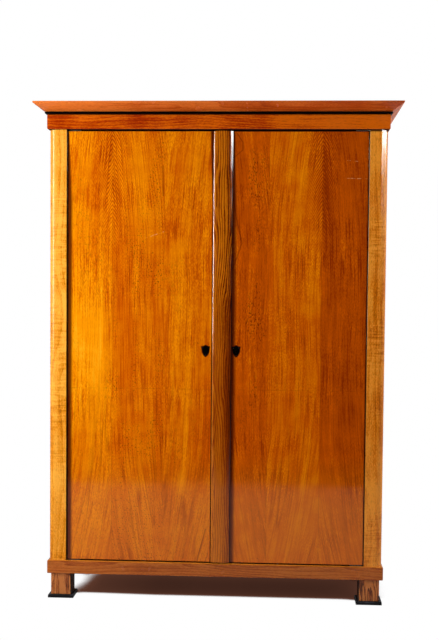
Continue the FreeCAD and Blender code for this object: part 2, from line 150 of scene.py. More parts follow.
def scored(add, flat, lines, width, strength):
    """Mask of straight scratches and cut lines on a door, each from one X and Z to another."""
    mask = 0.0
    for x0, z0, x1, z1 in lines:
        run = Vector((x1 - x0, 0.0, z1 - z0))
        off = add("VectorMath", {0: flat, 1: (x0, 0.0, z0)}, operation="SUBTRACT")
        share = add("VectorMath", {0: off, 1: run / run.length_squared}, out="Value", operation="DOT_PRODUCT")
        share = add("MapRange", {0: share, 1: 0.0, 2: 1.0})
        foot = add("VectorMath", {0: run, "Scale": share}, operation="SCALE")
        off = add("VectorMath", {0: off, 1: foot}, out="Value", operation="DISTANCE")
        line = add("MapRange", {0: off, 1: width, 2: width / 3, 4: strength})
        mask = add("Math", {0: line, 1: mask}, operation="MAXIMUM")
    return mask


def off_line(add, value, where):
    """How far a value lies from a place, to either side."""
    off = add("Math", {0: value, 1: where}, operation="SUBTRACT")
    return add("Math", {0: off}, operation="ABSOLUTE")


def plate_rim(node):
    """Lines round a keyhole plate: a peaked top, sides that draw in and a pointed foot."""
    low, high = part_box(node)
    middle, size = (low + high) / 2, high - low
    right = [(0.0, -0.5), (0.22, -0.36), (0.40, -0.12), (0.5, 0.37), (0.25, 0.4), (0.0, 0.5)]
    shares = right + [(-x, z) for x, z in reversed(right[:-1])]
    spots = [(middle.x + x * size.x, middle.z + z * size.z) for x, z in shares]
    return [start + end for start, end in zip(spots, spots[1:])]


def matched_veneer(name, shift, leaf_tones, streaks, fleck_leaf, foot_flecks, shaded_edges, cuts, scratches_and_glint, plate):
    """Knife-cut cherry veneer, three leaves opened like a book, under a clear shellac polish.

    The growth lines stand upright. Near the head they run into the outer seam as arrow heads, and towards
    the foot they draw together at the inner seam. The polish is smooth, so the door mirrors the floor a little;
    towards the foot a paler haze is painted on as a reflection of the floor.
    Streaks are patches of other tone: place across and up, half width, half height and tone. Most flecks are in
    the fleck leaf (-1 hinge, 0 middle, 1 inner), and so many of them at the foot. Shaded edges are painted shade
    in the gaps and painted shadows cast by the strip and the posts, with some dirt at the meeting edge: an axis, a
    place, a width below and at the head of the door, and a strength. Cuts are dark lines, scratches pale ones,
    and a pale line may be a painted highlight on an edge.
    """
    finish, add = new_finish(name)
    place = add("TexCoord", out="Object")
    axes = add("SeparateXYZ", {0: place}, out=None).outputs
    x, z = axes["X"], axes["Z"]
    away = add("Math", {0: x}, operation="ABSOLUTE")
    from_seam = add("Math", {0: outer_seam, 1: away}, operation="SUBTRACT")
    folded = add("Math", {0: from_seam, 1: middle_leaf}, operation="PINGPONG")
    share = add("Math", {0: from_seam, 1: middle_leaf}, operation="DIVIDE")
    leaf = add("Math", {0: share}, operation="FLOOR")

    # The lines wander by some 15 mm; they lean one in ten at the head of the door, one in four at its foot
    leaf_shift = add("Math", {0: leaf, 1: 0.03, 2: shift}, operation="MULTIPLY_ADD")
    slow_place = add("CombineXYZ", {0: folded, 1: leaf_shift, 2: z})
    wander = grain_noise(add, slow_place, 120, 0.25, 1.0)
    lines = add("Math", {0: wander, 1: 0.030, 2: folded}, operation="MULTIPLY_ADD")
    for start, end, push in ((1.30, 1.90, 0.040), (0.85, 0.10, -0.095)):
        rise = add("MapRange", {0: z, 1: start, 2: end})
        curve = add("Math", {0: rise, 1: 2.0}, operation="POWER")
        lines = add("Math", {0: curve, 1: push, 2: lines}, operation="MULTIPLY_ADD")
    grain = add("CombineXYZ", {0: lines, 1: leaf_shift, 2: z})

    # Stripes are 36, 12 and 5 mm wide; pores are drawn at 2.6 mm, coarser than they are, so as to show
    broad = grain_noise(add, grain, 36, 0.05, 1.0)
    stripe = grain_noise(add, grain, 12, 0.04, 1.5)
    streak = grain_noise(add, grain, 5.0, 0.035, 1.0)
    pores = grain_noise(add, grain, 2.6, 0.3, 1.0)
    cloud = grain_noise(add, slow_place, 55, detail=3.0)
    smooth = grain_noise(add, slow_place, 150, detail=1.0)
    smooth = add("MapRange", {0: smooth, 1: 0.38, 2: 0.62, 3: 0.35, 4: 1.0})
    pores = add("Mix", {0: smooth, 2: 0.5, 3: pores})
    veins = add("MapRange", {0: streak, 1: 0.47, 2: 0.33})
    veins = add("Math", {0: veins, 1: smooth}, operation="MULTIPLY")

    # Arrow heads: rings 16 mm apart along the outer seam, steeper the further they are from it
    from_arrows = add("Math", {0: from_seam}, operation="ABSOLUTE")
    steep = add("Math", {0: from_arrows, 1: 10.0, 2: 1.5}, operation="MULTIPLY_ADD")
    arrows = add("Math", {0: from_arrows, 1: steep, 2: z}, operation="MULTIPLY_ADD")
    for pattern, sway in ((stripe, 0.020), (cloud, 0.020)):
        arrows = add("Math", {0: pattern, 1: sway, 2: arrows}, operation="MULTIPLY_ADD")
    arrows = add("Math", {0: arrows, 1: 2 * math.pi / 0.016}, operation="MULTIPLY")
    arrows = add("Math", {0: arrows}, operation="SINE")
    arrows = add("MapRange", {0: arrows, 1: -0.2, 2: 1.0})
    near_head = add("MapRange", {0: z, 1: 1.32, 2: 1.66})
    near_seam = add("MapRange", {0: from_arrows, 1: 0.090, 2: 0.015})
    for mask in (near_head, near_seam):
        arrows = add("Math", {0: arrows, 1: mask}, operation="MULTIPLY")

    # Single growth lines stand out dark, most of all towards the foot, where they meet at the inner seam
    dark_lines = grain_noise(add, grain, 44, 0.04, 1.0)
    dark_lines = add("Math", {0: dark_lines, 1: 5.0}, operation="MULTIPLY")
    dark_lines = add("Math", {0: dark_lines, 1: 0.5}, operation="PINGPONG")
    dark_lines = add("MapRange", {0: dark_lines, 1: 0.14, 2: 0.0})
    near_foot = add("MapRange", {0: z, 1: 1.00, 2: 0.60, 3: 0.35, 4: 1.0})
    for mask in (near_foot, smooth):
        dark_lines = add("Math", {0: dark_lines, 1: mask}, operation="MULTIPLY")

    # Tone of each leaf, hinge, middle and inner, which grow alike at the foot, and streaks of sapwood or dark wood
    hinge_tone, middle_tone, inner_tone = leaf_tones
    side_tone = add("Math", {0: leaf, 1: (inner_tone - hinge_tone) / 2, 2: middle_tone}, operation="MULTIPLY_ADD")
    outer_leaf = add("Math", {0: leaf}, operation="ABSOLUTE")
    leaf_tone = add("Math", {0: outer_leaf, 1: (hinge_tone + inner_tone) / 2 - middle_tone, 2: side_tone},
                    operation="MULTIPLY_ADD")
    above_foot = add("MapRange", {0: z, 1: 0.2, 2: 0.75, 3: 0.25, 4: 1.0})
    sapwood = 0.0
    paired = add("CombineXYZ", {0: away, 1: 0.0, 2: z})
    for sap_x, sap_z, sap_width, sap_height, sap_tone in streaks:
        spot = add("VectorMath", {0: paired, 1: (sap_x, 0.0, sap_z)}, operation="SUBTRACT")
        spot = add("VectorMath", {0: spot, 1: (1 / sap_width, 0.0, 1 / sap_height)}, operation="MULTIPLY")
        spot = add("VectorMath", {0: spot}, out="Value", operation="LENGTH")
        spot = add("MapRange", {0: spot, 1: 1.0, 2: 0.0, 4: sap_tone}, interpolation_type="SMOOTHSTEP")
        sapwood = add("Math", {0: spot, 1: sapwood})
    tone = weigh(add, 0.58, [(broad, 0.55), (stripe, 0.34), (streak, 0.30), (cloud, 0.34), (pores, 0.90)])
    for pattern, weight in ((veins, -0.30), (arrows, -0.50), (sapwood, 1.0)):
        tone = add("Math", {0: pattern, 1: weight, 2: tone}, operation="MULTIPLY_ADD")
    tone = add("Math", {0: leaf_tone, 1: above_foot, 2: tone}, operation="MULTIPLY_ADD")
    tone = add("MapRange", {0: tone, 1: 0.0, 2: 1.35})
    colour = add("ValToRGB", {0: tone}, stops=[(0.0, cherry_veneer[0]), (1.0, cherry_glow),
                                               (0.37, cherry_veneer[1]), (0.74, cherry_veneer[2])])
    # Towards the foot the colour is painted paler, a painted reflection of the floor in the polish
    foot = add("MapRange", {0: z, 1: 0.60, 2: 0.38})
    painted_floor_haze = add("Math", {0: foot, 1: 0.36}, operation="MULTIPLY")
    dark_lines = add("Math", {0: dark_lines, 1: 0.48}, operation="MULTIPLY")

    # Resin flecks, short dark dashes 4 mm wide in bands along the leaf, and knocks at the foot
    dashes = grain_noise(add, grain, 4.0, 0.5, 0.0)
    dashes = add("MapRange", {0: dashes, 1: 0.63, 2: 0.70, 4: 0.7})
    band = grain_noise(add, slow_place, 75, 0.3, 1.0)
    band = add("MapRange", {0: band, 1: 0.47, 2: 0.62})
    knocked = add("Math", {0: foot, 1: 0.8 * foot_flecks}, operation="MULTIPLY")
    band = add("Math", {0: band, 1: knocked}, operation="MAXIMUM")
    in_leaf = add("Math", {0: leaf, 1: fleck_leaf, 2: 0.5}, operation="COMPARE")
    in_leaf = add("MapRange", {0: in_leaf, 1: 0.0, 2: 1.0, 3: 0.35, 4: 1.0})
    off_foot = add("MapRange", {0: z, 1: 0.65, 2: 0.85, 3: foot_flecks, 4: 1.0})
    for mask in (band, in_leaf, off_foot):
        dashes = add("Math", {0: dashes, 1: mask}, operation="MULTIPLY")

    # Joints of the leaves, and the lower edge of the lock rail that shows through
    marks = 0.0
    for value, where in ((folded, 0.0), (folded, middle_leaf), (z, lock_rail_line)):
        line = add("MapRange", {0: off_line(add, value, where), 1: 0.0015, 2: 0.0004, 4: 0.28})
        marks = add("Math", {0: marks, 1: line}, operation="MAXIMUM")
    broken = grain_noise(add, place, 60)
    broken = add("MapRange", {0: broken, 1: 0.42, 2: 0.58, 3: 0.15, 4: 1.0})
    marks = add("Math", {0: marks, 1: broken}, operation="MULTIPLY")

    # Worm holes and dents, dark dots up to 5 mm wide in one cell of three
    flat = add("CombineXYZ", {0: x, 1: 0.0, 2: z})
    cells = add("TexVoronoi", {"Vector": flat, "Scale": 1000 / 38}, out=None).outputs
    holes = add("MapRange", {0: cells["Distance"], 1: 0.065, 2: 0.035, 4: 0.75})
    chosen = add("Math", {0: cells["Color"], 1: 0.66}, operation="GREATER_THAN")
    for mask in (chosen, band):
        holes = add("Math", {0: holes, 1: mask}, operation="MULTIPLY")
    cut = scored(add, flat, cuts, 0.0032, 0.5)
    for pattern in (holes, cut):
        marks = add("Math", {0: marks, 1: pattern}, operation="MAXIMUM")
    scratch_and_glint = scored(add, flat, scratches_and_glint, 0.0024, 0.42)
    worn = grain_noise(add, flat, 14, detail=1.0)
    worn = add("MapRange", {0: worn, 1: 0.45, 2: 0.60})
    scratch_and_glint = add("Math", {0: scratch_and_glint, 1: worn}, operation="MULTIPLY")

    # Old wax round the keyhole plate; along the edges, painted shade in the gaps and painted shadows cast by the
    # strip and the posts, with some dirt
    shade_and_wax = scored(add, flat, plate_rim(plate), 0.0036, 0.96)
    for axis, where, width, head_width, strength in shaded_edges:
        off = off_line(add, z if axis == "Z" else away, where)
        wedge = add("MapRange", {0: z, 1: 1.60, 2: 1.89, 3: width, 4: head_width})
        off = add("Math", {0: off, 1: wedge}, operation="DIVIDE")
        line = add("MapRange", {0: off, 1: 1.0, 2: 0.5, 4: strength})
        shade_and_wax = add("Math", {0: shade_and_wax, 1: line}, operation="MAXIMUM")
    for mask, tint in ((painted_floor_haze, cherry_floor_haze), (dark_lines, cherry_veneer[0]), (dashes, cherry_veneer[3]),
                       (marks, cherry_veneer[3]), (scratch_and_glint, scratch_and_glint_tint), (shade_and_wax, wax_and_shade_tint)):
        colour = add("Mix", {0: mask, 6: colour, 7: linear(tint)}, out=2, data_type="RGBA")

    # The polish has filled the grain; what is left is a long faint wave and some dull patches
    waves = grain_noise(add, place, 220)
    roughness = add("MapRange", {0: waves, 1: 0.3, 2: 0.7, 3: 0.05, 4: 0.11})
    relief = weigh(add, 0.5, [(streak, 0.25), (stripe, 0.25), (dashes, -0.5), (waves, 5.0)])
    polish(add, colour, roughness, relief, 0.00005)
    return finish


def planed_wood(name, node, along, tints, ring_mm, rough, plank=None, wander_mm=14.0, curl_mm=3.0, ring=0.5,
                fibre=0.35, grit=0.4, pores=0.5, knots=0.0, ripple=0.0, zones=0.0, lean=0.012, depth=0.00012,
                calm=0.0, paler=(), tilt=0.0, painted_shade_lines=(), top_light_tint=None, raw_top=False, gloss=0.5, start=0.62, heart=0.0):
    """Solid wood with its grain along one axis; its heart lies behind the node's middle, or so far beside it.

    The growth rings give the lines, fibres, grit and pores the fine streaks, zones the slow change of tone
    along the piece, ripple the cross figure of a polished post. With a plank width, the piece is glued up
    from planks that differ. Start is the mean tone. Below the calm height the figure fades. Paler stretches run
    from one place on an axis to another, and tilt lightens the wood from left to right by so much a metre. The
    shade lines paint shade along edges and in gaps, where shadow falls: an axis, its place there and its width.
    Faces that look down are left unpolished and painted dark as shade; the top tint paints light on faces that
    look up, and a raw top was never polished.
    """
    finish, add = new_finish(name)
    low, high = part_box(node)
    place = add("TexCoord", out="Object")
    axes = add("SeparateXYZ", {0: place}, out=None).outputs
    paired = along != "X" and not plank
    away = add("Math", {0: axes["X"]}, operation="ABSOLUTE") if paired else axes["X"]
    first, second = {"X": ("Y", "Z"), "Y": ("X", "Z"), "Z": ("X", "Y")}[along]
    coordinate = {"X": away, "Y": axes["Y"], "Z": axes["Z"]}
    centre = (low + high) / 2
    middle = {"X": abs(centre.x), "Y": centre.y, "Z": centre.z}
    run = coordinate[along]
    if paired:
        side = add("Math", {0: axes["X"]}, operation="SIGN")
        run = add("Math", {0: side, 1: 3.7, 2: run}, operation="MULTIPLY_ADD")
    joint = None
    tone_shift = 0.5
    if plank:
        share = add("Math", {0: coordinate[first], 1: low["XYZ".index(first)]}, operation="SUBTRACT")
        share = add("Math", {0: share, 1: plank}, operation="DIVIDE")
        number = add("Math", {0: share}, operation="FLOOR")
        run = add("Math", {0: number, 1: 2.3, 2: run}, operation="MULTIPLY_ADD")
        inside = add("Math", {0: share}, operation="FRACT")
        across = add("MapRange", {0: inside, 1: 0.0, 2: 1.0, 3: -plank / 2, 4: plank / 2})
        offset = off_line(add, inside, 0.5)
        joint = add("MapRange", {0: offset, 1: 0.5 - 0.0012 / plank, 2: 0.5 - 0.0003 / plank, 4: 0.6})
        tone_shift = add("TexWhiteNoise", {"W": number}, noise_dimensions="1D")
    else:
        across = add("Math", {0: coordinate[first], 1: middle[first] - heart}, operation="SUBTRACT")
    under = add("Math", {0: coordinate[second], 1: middle[second] + 0.045}, operation="SUBTRACT")
    grain = add("CombineXYZ", {0: across, 1: under, 2: run})

    # The heart wanders from side to side along the piece, so the rings make long tongues on its faces
    swing = grain_noise(add, grain, 160, 0.3, 1.0)
    swing = add("Math", {0: swing, 1: 0.5}, operation="SUBTRACT")
    leaned = add("Math", {0: run, 1: lean, 2: across}, operation="MULTIPLY_ADD")
    leaned = add("Math", {0: leaned, 1: 0.11}, operation="PINGPONG") if lean else leaned
    moved = add("Math", {0: swing, 1: wander_mm * 0.004, 2: leaned}, operation="MULTIPLY_ADD")
    section = add("CombineXYZ", {0: moved, 1: under})
    radius = add("VectorMath", {0: section}, out="Value", operation="LENGTH")
    curl = grain_noise(add, grain, 26, 0.14, 2.0)
    radius = add("Math", {0: curl, 1: curl_mm * 0.004, 2: radius}, operation="MULTIPLY_ADD")
    knot = None
    if knots:
        flat = add("CombineXYZ", {0: across, 1: 0.0, 2: run})
        spread = add("TexVoronoi", {"Vector": flat, "Scale": 1000 / 330}, out="Distance")
        knot = add("MapRange", {0: spread, 1: 0.055, 2: 0.02, 4: knots})
        push = add("MapRange", {0: spread, 1: 0.25, 2: 0.0, 4: 0.016}, interpolation_type="SMOOTHSTEP")
        radius = add("Math", {0: radius, 1: push})
    rings = add("Math", {0: radius, 1: 1000 / ring_mm}, operation="MULTIPLY")
    rings = add("Math", {0: swing, 1: 3.0, 2: rings}, operation="MULTIPLY_ADD")
    late = add("Math", {0: rings}, operation="FRACT")
    late = add("Math", {0: late, 1: 2.2}, operation="POWER")
    edge = add("MapRange", {0: late, 1: 0.9, 2: 1.0, 3: 1.0, 4: 0.0})
    late = add("Math", {0: late, 1: edge}, operation="MULTIPLY")

    # Fibres and grit are drawn at 2.6 mm and pores at 1.8 mm, coarser than they are, so as to show
    streak = grain_noise(add, grain, 2.6, 0.03)
    fine = grain_noise(add, grain, 2.6, 0.3, 1.0)
    broad = grain_noise(add, grain, 30, 0.08, 1.0)
    tone = weigh(add, start, [(late, -ring), (streak, fibre), (fine, grit), (broad, 0.8), (tone_shift, 0.28)])
    if zones:
        slow = grain_noise(add, grain, 130)
        slow = add("Math", {0: slow, 1: 0.5}, operation="SUBTRACT")
        tone = add("Math", {0: slow, 1: zones, 2: tone}, operation="MULTIPLY_ADD")
    if ripple:
        flat = add("VectorMath", {0: grain, 1: (0.12, 0.12, 1.0)}, operation="MULTIPLY")
        cross = grain_noise(add, flat, 7, detail=1.0)
        cross = add("Math", {0: cross, 1: 0.5}, operation="SUBTRACT")
        patch = grain_noise(add, grain, 130, 0.8, 1.0)
        patch = add("MapRange", {0: patch, 1: 0.47, 2: 0.60, 3: 0.1 * ripple, 4: ripple})
        tone = add("Math", {0: cross, 1: patch, 2: tone}, operation="MULTIPLY_ADD")
    if calm:
        quiet = add("MapRange", {0: axes["Z"], 1: calm + 0.3, 2: calm - 0.1, 4: 0.55})
        tone = add("Mix", {0: quiet, 2: tone, 3: 0.5})
    for axis, begin, end, amount in paler:
        rise = add("MapRange", {0: axes[axis], 1: begin, 2: end, 4: amount})
        tone = add("Math", {0: tone, 1: rise})
    if tilt:
        tone = add("Math", {0: axes["X"], 1: tilt, 2: tone}, operation="MULTIPLY_ADD")
    colour = add("ValToRGB", {0: tone}, stops=wood_stops(tints))
    dots = grain_noise(add, grain, 1.8, 0.12, 0.0)
    dots = add("MapRange", {0: dots, 1: 0.64, 2: 0.74, 4: pores})
    darkest = dots
    for mark in (knot, joint):
        if mark is not None:
            darkest = add("Math", {0: darkest, 1: mark}, operation="MAXIMUM")

    # Arrises are rubbed a little paler where hands and cloths pass
    arris = add("Attribute", out="Fac", attribute_name="arris")
    rub = grain_noise(add, place, 45, detail=3.0)
    rub = add("MapRange", {0: rub, 1: 0.4, 2: 0.65, 3: 0.1, 4: 0.6})
    rub = add("Math", {0: rub, 1: arris}, operation="MULTIPLY")
    layers = [(darkest, tints[3]), (rub, tints[2])]
    # Painted shade along edges and in gaps, where shadow falls
    shade_and_wax = 0.0
    for axis, where, width in painted_shade_lines:
        off = off_line(add, coordinate[axis], where)
        line = add("MapRange", {0: off, 1: width, 2: width / 2, 4: 0.92})
        shade_and_wax = add("Math", {0: line, 1: shade_and_wax}, operation="MAXIMUM")
    if painted_shade_lines:
        layers.append((shade_and_wax, painted_shade_tint))
    facing = add("NewGeometry", out="Normal")
    facing = add("SeparateXYZ", {0: facing}, out="Z")
    # Painted light on faces that look up, as if lit from above
    if top_light_tint:
        painted_top_light = add("MapRange", {0: facing, 1: 0.5, 2: 0.9, 4: 0.85})
        painted_top_light = add("Math", {0: painted_top_light, 1: shade_and_wax}, operation="SUBTRACT", use_clamp=True)
        layers.append((painted_top_light, top_light_tint))
    # Faces that look down are painted dark as shade, and left unpolished
    underside_shade = add("MapRange", {0: facing, 1: -0.93, 2: -0.99, 4: 0.92})
    layers.append((underside_shade, shaded_wood))
    bare = underside_shade
    if raw_top:
        raw = add("MapRange", {0: facing, 1: 0.93, 2: 0.99, 4: 0.8})
        layers.append((raw, raw_wood))
        bare = add("Math", {0: underside_shade, 1: raw}, operation="MAXIMUM")
    for mask, tint in layers:
        colour = add("Mix", {0: mask, 6: colour, 7: linear(tint)}, out=2, data_type="RGBA")

    # The polish is dull in patches, and bare faces have none
    dull = grain_noise(add, place, 90, detail=3.0)
    roughness = add("MapRange", {0: dull, 1: 0.3, 2: 0.7, 3: rough - 0.05, 4: rough + 0.08})
    roughness = add("Mix", {0: bare, 2: roughness, 3: 0.8})
    relief = weigh(add, 0.5, [(streak, 0.4), (dots, -0.6)])
    shine = add("Mix", {0: bare, 2: gloss, 3: 0.0})
    polish(add, colour, roughness, relief, depth, gloss=shine)
    return finish


def ebonised(name, tints, gloss):
    """Pear wood stained black and polished: a soft black gloss, paler where the stain is rubbed."""
    finish, add = new_finish(name)
    place = add("TexCoord", out="Object")
    cloud = grain_noise(add, place, 35, detail=4.0)
    colour = add("ValToRGB", {0: cloud}, stops=[(0.35, tints[0]), (0.75, tints[1])])
    arris = add("Attribute", out="Fac", attribute_name="arris")
    rub = add("MapRange", {0: cloud, 1: 0.5, 2: 0.7, 4: 0.7})
    rub = add("Math", {0: rub, 1: arris}, operation="MULTIPLY")
    colour = add("Mix", {0: rub, 6: colour, 7: linear(tints[2])}, out=2, data_type="RGBA")
    brush = grain_noise(add, place, 2.5)
    roughness = add("MapRange", {0: cloud, 1: 0.3, 2: 0.7, 3: 0.34, 4: 0.5})
    polish(add, colour, roughness, brush, 0.00005, gloss=gloss)
    return finish


def forged_iron(name):
    """Wrought iron, hammered and blackened: dull grey-black, rust in the hollows, bright on rubbed edges."""
    finish, add = new_finish(name)
    place = add("TexCoord", out="Object")
    blows = grain_noise(add, place, 6, detail=3.0)
    cloud = grain_noise(add, place, 14, detail=5.0)
    colour = add("ValToRGB", {0: cloud}, stops=[(0.38, "#5A3A26"), (0.72, "#6E6A64"), (0.52, "#3B3834")])
    arris = add("Attribute", out="Fac", attribute_name="arris")
    colour = add("Mix", {0: arris, 6: colour, 7: linear("#9A9690")}, out=2, data_type="RGBA")
    roughness = add("MapRange", {0: cloud, 1: 0.35, 2: 0.7, 3: 0.62, 4: 0.36})
    polish(add, colour, roughness, blows, 0.0003, 0.85)
    return finish


# Tints of each wood: dark line, body, light streak, pore
cherry_veneer = ("#923000", "#D05A00", "#FE9C04", "#5C2000")
cherry_head = ("#7E1E00", "#A83200", "#DA6604", "#5A1E02")
cherry_cornice = ("#A03C0C", "#C65210", "#EA7C2E", "#6A2408")
cherry_base = ("#7C3406", "#A44C0C", "#C26C22", "#50200A")
cherry_foot = ("#4A1E06", "#9E5020", "#C87A3C", "#3A1806")
cherry_side = ("#A4480A", "#C6620C", "#E48A24", "#66280A")
pale_left = ("#AA5A06", "#E28A14", "#FCB240", "#8E4C10")
pale_right = ("#9A4602", "#DC780C", "#F8A032", "#86440C")
walnut_strip = ("#421200", "#8E3600", "#CA700A", "#2A0E00")
spruce = ("#A86C36", "#D6A268", "#E8BE8A", "#6A3D18")

# Tints of painted shade, of wax with painted shade, of scratches and a painted glint, of raw wood, of painted shade
# under pieces, and of the veneer where it glows or where the floor's reflection is painted on it
painted_shade_tint, wax_and_shade_tint = "#220A02", "#480C02"
scratch_and_glint_tint, raw_wood, shaded_wood = "#F4BC78", "#8A5C3C", "#0C0602"
cherry_glow, cherry_floor_haze = "#FFC028", "#DE8210"

finishes = {
    "left_door_veneer": matched_veneer(
        "cherry_veneer_left", 0.0, (0.18, 0.04, 0.09),
        [(0.53, 1.00, 0.16, 0.46, 0.30), (0.32, 1.66, 0.16, 0.34, 0.14), (0.03, 0.68, 0.12, 0.38, -0.17)], 0.0, 0.9,
        # Painted shade: the gap at the meeting edge, wider at the head and partly dirt, and the shadow that the left
        # post casts on the hinge edge
        [("X", meeting_edge, 0.002, 0.014, 0.94), ("X", hinge_edge, 0.022, 0.005, 0.90)],
        [(-0.036, 0.292, -0.068, 0.164), (-0.217, 1.752, -0.216, 1.635), (-0.262, 1.676, -0.260, 1.674),
         (-0.258, 1.408, -0.256, 1.406), (-0.073, 1.047, -0.071, 1.045)],
        [(-0.281, 1.467, -0.213, 1.491)], "left_escutcheon"),
    "right_door_veneer": matched_veneer(
        "cherry_veneer_right", 0.4, (-0.28, -0.01, -0.17), [(0.35, 1.40, 0.10, 0.50, 0.14)], 1.0, 0.1,
        # Painted shade: the shadow that the strip casts beside it, and the gaps at the hinge edge and under the
        # frieze
        [("X", strip_right, 0.020, 0.006, 0.75), ("X", hinge_edge, 0.002, 0.001, 0.94),
         ("Z", door_top, 0.002, 0.002, 0.94)],
        [(0.077, 1.884, 0.102, 1.846), (0.102, 1.846, 0.101, 1.816), (0.101, 1.816, 0.064, 1.784),
         (0.066, 1.623, 0.077, 1.553), (0.077, 1.553, 0.101, 1.447), (0.101, 1.447, 0.066, 1.347)],
        # The last pale line, upright beside the hinge edge at the head, is a painted highlight on the door's edge
        [(0.516, 1.776, 0.558, 1.772), (0.510, 1.706, 0.594, 1.704), (0.598, 1.876, 0.598, 1.750)],
        "right_escutcheon"),
    "cover_strip": planed_wood(
        "walnut_cover_strip", "cover_strip", "Z", walnut_strip, 7.0, 0.12, ring=1.3, wander_mm=16, curl_mm=4.0,
        fibre=0.9, grit=0.5, pores=0.3, lean=0.0, zones=0.5, heart=0.08, start=0.445, depth=0.00001, calm=1.05,
        # Painted shade on the strip's right-hand edge, which faces away from the light
        painted_shade_lines=[("X", strip_right, 0.004)],
        # The last two stretches paint shade on the right flank of the crown, which falls away from the light, and a
        # highlight on the left arris
        paler=[("Z", 0.75, 0.30, 0.3), ("Z", 1.5, 1.8, 0.05), ("X", 0.026, 0.062, -0.42),
               ("X", -0.0085, -0.0110, 0.85)]),
    "bead": ebonised("ebonised_pear_bead", ("#010101", "#040304", "#1E1612"), 0.05),
    # The plinth's pale blue-grey rubbed arrises are partly wear and partly a painted reflection of the floor
    "plinth": ebonised("ebonised_pear_plinth", ("#08080C", "#16161E", "#5C5C6C"), 0.3),
    "iron": forged_iron("blackened_iron"),
    "left_front_post": planed_wood(
        "pale_cherry_left_post", "right_front_post", "Z", pale_left, 14.0, 0.26, ring=0.35, fibre=0.8, grit=0.9,
        pores=0.3, ripple=1.2, zones=1.1, paler=[("Z", 1.45, 1.15, 0.12), ("Z", 0.90, 0.60, -0.12)],
        # Painted shade in the gap beside the door
        painted_shade_lines=[("X", post_inner, 0.003)], gloss=0.15),
    "right_front_post": planed_wood(
        "pale_cherry_right_post", "right_front_post", "Z", pale_right, 14.0, 0.18, ring=0.35, fibre=1.0, grit=1.1,
        pores=0.4, ripple=1.3, zones=1.1, paler=[("Z", 0.75, 0.30, 0.25), ("Z", 1.45, 1.85, 0.22)],
        # Painted shade in the gaps beside the door and under the frieze
        painted_shade_lines=[("X", post_inner, 0.0015), ("Z", post_top, 0.009)]),
}

# The other cherry pieces: node, grain, tints, ring width in mm, roughness, and what differs from the usual
usual_cherry = dict(ring=0.6, fibre=0.6, grit=0.6, pores=0.25, zones=0.6)
for piece, node, along, tints, ring_mm, rough, own in (
        ("cornice_front", "cornice_front", "X", cherry_cornice, 9.0, 0.22,
         dict(ring=0.35, zones=0.7, tilt=-0.55, start=0.67, raw_top=True)),
        ("frieze_front", "frieze_front", "X", cherry_head, 9.0, 0.18,
         dict(ring=0.45, fibre=0.9, grit=0.9, zones=1.1, tilt=0.20, gloss=0.3,
              paler=[("X", 0.05, 0.50, 0.24), ("X", -0.15, -0.45, 0.06)],
              # Painted shade in the gap under the frieze
              painted_shade_lines=[("Z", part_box("frieze_front")[0].z, 0.0025)])),
        ("base_rail_front", "base_rail_front", "X", cherry_base, 8.0, 0.22,
         # Painted shade in the gap under the doors, and painted light on the top face
         dict(fibre=0.8, grit=0.8, tilt=-0.14, top_light_tint="#F09428", painted_shade_lines=[("Y", door_front + 0.014, 0.020)])),
        ("side_cornice", "right_cornice", "Y", cherry_cornice, 9.0, 0.22, dict(gloss=0.2, raw_top=True)),
        ("side_frieze", "right_frieze", "Y", cherry_head, 9.0, 0.18, dict(gloss=0.3)),
        # Painted light on the top face
        ("side_base_rail", "right_base_rail", "Y", cherry_base, 8.0, 0.22, dict(top_light_tint="#D88430")),
        ("side_rails", "right_side_rails", "Y", cherry_side, 9.0, 0.30, dict(gloss=0.25)),
        ("front_foot", "right_front_foot", "Z", cherry_foot, 9.0, 0.25,
         dict(ring=1.45, fibre=0.9, grit=0.9, lean=0.12, curl_mm=8.0, start=0.58, tilt=-0.15,
              # Painted shade on the inner side of the foot
              painted_shade_lines=[("X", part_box("right_front_foot")[0].x, 0.004)])),
        ("rear_foot", "right_rear_foot", "Z", cherry_foot, 8.0, 0.25, {}),
        ("rear_post", "right_rear_post", "Z", cherry_side, 9.0, 0.30, dict(gloss=0.25)),
        ("side_panel", "right_side_panel", "Z", cherry_side, 11.0, 0.30, dict(gloss=0.25))):
    finishes[piece] = planed_wood("cherry_" + piece, node, along, tints, ring_mm, rough, **{**usual_cherry, **own})

# Spruce pieces: node, grain, and the width of the planks that it is glued up from
for piece, node, along, plank in (
        ("back_boards", "back_boards", "Z", back_board), ("shelves", "shelf_2", "X", 0.145),
        ("bottom_board", "bottom_board", "X", 0.15), ("top_board", "top_board", "X", 0.16),
        ("frieze_back", "frieze_back", "X", None), ("base_rail_back", "base_rail_back", "X", None),
        ("shelf_battens", "shelf_battens", "Y", None), ("door_stop_rail", "door_stop_rail", "X", None),
        ("cornice_glue_blocks", "cornice_glue_blocks", "X", None),
        ("hinge_stile", "right_door_hinge_stile", "Z", None),
        ("meeting_stile", "right_door_meeting_stile", "Z", None),
        ("door_rails", "right_door_rails", "X", None), ("door_panels", "right_door_panels", "Z", 0.12)):
    # Painted shade on the face of the stop rail that shows through the gaps
    painted_shade_lines = [("Y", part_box(node)[0].y, 0.008)] if piece == "door_stop_rail" else ()
    finishes[piece] = planed_wood("spruce_" + piece, node, along, spruce, 5.0, 0.5, plank=plank, ring=0.55,
                                  pores=0.15, knots=0.85, depth=0.0002, painted_shade_lines=painted_shade_lines)


def finish_of(node):
    """The finish that a node's pieces are made in."""
    for key, finish in finishes.items():
        if node.endswith(key):
            return finish
    slot = record_slots[node]
    if slot == "wrought_iron":
        return finishes["iron"]
    if slot == "ebonised_wood":
        return finishes["bead"]
    return finishes[{"cornice": "side_cornice", "frieze": "side_frieze", "base_rail": "side_base_rail"}.get(
        node.split("_", 1)[1], "shelves")]


